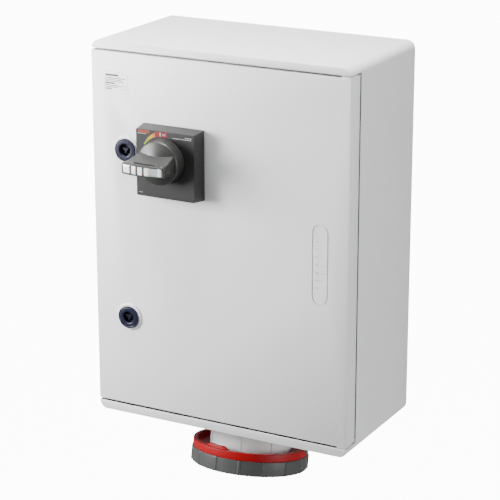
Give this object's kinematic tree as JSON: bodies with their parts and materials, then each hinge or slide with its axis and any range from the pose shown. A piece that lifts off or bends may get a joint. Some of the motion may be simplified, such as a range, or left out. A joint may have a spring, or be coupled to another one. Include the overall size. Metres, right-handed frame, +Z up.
{
  "type": "rotary isolator switch",
  "caption": "Wall cabinet with a door-mounted rotary isolator handle, door locks, an inner switch and an angled industrial socket with a bayonet lid underneath.",
  "frame": {"origin": "centre of the cabinet's back face, which lies on the wall", "axes": "+X right seen from the front, +Y into the wall, +Z up"},
  "size_m": [0.31, 0.2283, 0.506],
  "materials": {
    "cabinet_plastic": "fine moulded grain",
    "plate_plastic": "satin moulded",
    "grip_plastic": "satin moulded",
    "slide_plastic": "gloss",
    "lock_plastic": "satin",
    "seal_foam": "foamed",
    "zinc_steel": "zinc plated",
    "galvanised_steel": "galvanised",
    "contact_brass": "machined",
    "switch_black": "moulded",
    "switch_grey": "moulded",
    "trip_red": "gloss",
    "collar_red": "gloss",
    "ring_grey": "moulded",
    "wire_brown": "extruded",
    "wire_black": "extruded",
    "wire_grey": "extruded",
    "wire_green": "extruded",
    "label_film": "printed film"
  },
  "bodies": {
    "cabinet": {"colour_collar": "collar_red", "contact_carrier": "switch_black", "earth_bar": "contact_brass", "earth_contact": "contact_brass", "earth_wire": "wire_green", "enclosure_shell": "cabinet_plastic", "hinge_pin_lower": "zinc_steel", "hinge_pin_upper": "zinc_steel", "lid_hinge_bracket": "ring_grey", "lid_hinge_pin": "zinc_steel", "load_terminal_1": "contact_brass", "load_terminal_2": "contact_brass", "load_terminal_3": "contact_brass", "lower_keeper": "galvanised_steel", "mechanism_housing": "switch_grey", "mounting_plate": "galvanised_steel", "mounting_plate_screw_1": "zinc_steel", "mounting_plate_screw_2": "zinc_steel", "mounting_plate_screw_3": "zinc_steel", "mounting_plate_screw_4": "zinc_steel", "neck_screw_1": "zinc_steel", "neck_screw_2": "zinc_steel", "neck_screw_3": "zinc_steel", "neck_screw_4": "zinc_steel", "phase_contact_1": "contact_brass", "phase_contact_2": "contact_brass", "phase_contact_3": "contact_brass", "phase_wire_1": "wire_brown", "phase_wire_2": "wire_black", "phase_wire_3": "wire_grey", "socket_neck": "cabinet_plastic", "switch_body": "switch_black", "switch_cover": "switch_grey", "upper_keeper": "galvanised_steel"},
    "door": {"door_panel": "cabinet_plastic", "door_seal": "seal_foam", "handle_base_plate": "plate_plastic", "handle_clamp_plate": "galvanised_steel", "handle_clamp_screw_1": "zinc_steel", "handle_clamp_screw_2": "zinc_steel", "upper_lock_bush": "lock_plastic", "upper_lock_collar": "cabinet_plastic", "upper_lock_nut": "zinc_steel", "lower_lock_bush": "lock_plastic", "lower_lock_collar": "cabinet_plastic", "lower_lock_nut": "zinc_steel"},
    "handle": {"handle_knob": "grip_plastic", "shaft_coupler": "switch_black"},
    "slide": {"padlock_slide": "slide_plastic"},
    "upper_lock": {"upper_lock_core": "lock_plastic", "upper_lock_cam": "zinc_steel"},
    "lower_lock": {"lower_lock_core": "lock_plastic", "lower_lock_cam": "zinc_steel"},
    "shaft": {"extension_shaft": "zinc_steel"},
    "slider": {"drive_slider": "galvanised_steel"},
    "toggle": {"switch_toggle": "switch_black"},
    "trip": {"trip_button": "trip_red"},
    "lid": {"lid_cap": "ring_grey", "lid_seal": "seal_foam"},
    "ring": {"lid_ring": "ring_grey"}
  },
  "joints": [
    {"name": "door_swing", "type": "hinge", "parent": "cabinet", "child": "door", "pos_m": [0.15, -0.1495, 0], "axis": [0, 0, 1], "range_deg": [0, 110]},
    {"name": "handle_turn", "type": "hinge", "parent": "door", "child": "handle", "pos_m": [-0.0529, -0.1793, 0.095], "axis": [0, 1, 0], "range_deg": [0, 90]},
    {"name": "padlock_slide_out", "type": "slide", "parent": "handle", "child": "slide", "axis": [0, -1, 0], "range_m": [0, 0.008]},
    {"name": "upper_lock_turn", "type": "hinge", "parent": "door", "child": "upper_lock", "pos_m": [-0.1124, -0.16, 0.0954], "axis": [0, 1, 0], "range_deg": [0, 90]},
    {"name": "lower_lock_turn", "type": "hinge", "parent": "door", "child": "lower_lock", "pos_m": [-0.1124, -0.16, -0.0957], "axis": [0, 1, 0], "range_deg": [0, 90]},
    {"name": "shaft_turn", "type": "hinge", "parent": "cabinet", "child": "shaft", "pos_m": [-0.0529, -0.1372, 0.095], "axis": [0, 1, 0], "range_deg": [0, 90]},
    {"name": "slider_lift", "type": "slide", "parent": "cabinet", "child": "slider", "axis": [0, 0, 1], "range_m": [0, 0.02263]},
    {"name": "toggle_turn", "type": "hinge", "parent": "cabinet", "child": "toggle", "pos_m": [-0.0529, -0.0759, 0.095], "axis": [-1, 0, 0], "range_deg": [0, 48.7]},
    {"name": "trip_push", "type": "slide", "parent": "cabinet", "child": "trip", "axis": [0, 1, 0], "range_m": [0, 0.002], "stiffness_N_per_m": 400},
    {"name": "lid_swing", "type": "hinge", "parent": "cabinet", "child": "lid", "pos_m": [0, -0.01828, -0.28901], "axis": [1, 0, 0], "range_deg": [0, 100], "stiffness_Nm_per_rad": 0.12, "springref_deg": -100.27},
    {"name": "lid_ring_turn", "type": "hinge", "parent": "lid", "child": "ring", "pos_m": [0, -0.0778, -0.2125], "axis": [0, -0.1874, -0.9823], "range_deg": [0, 45]}
  ],
  "couplings": [
    {"joint": "shaft_turn", "follows": "handle_turn", "ratio": 1},
    {"joint": "slider_lift", "follows": "handle_turn", "m_per_rad": 0.0144},
    {"joint": "toggle_turn", "follows": "handle_turn", "ratio": 0.541}
  ]
}
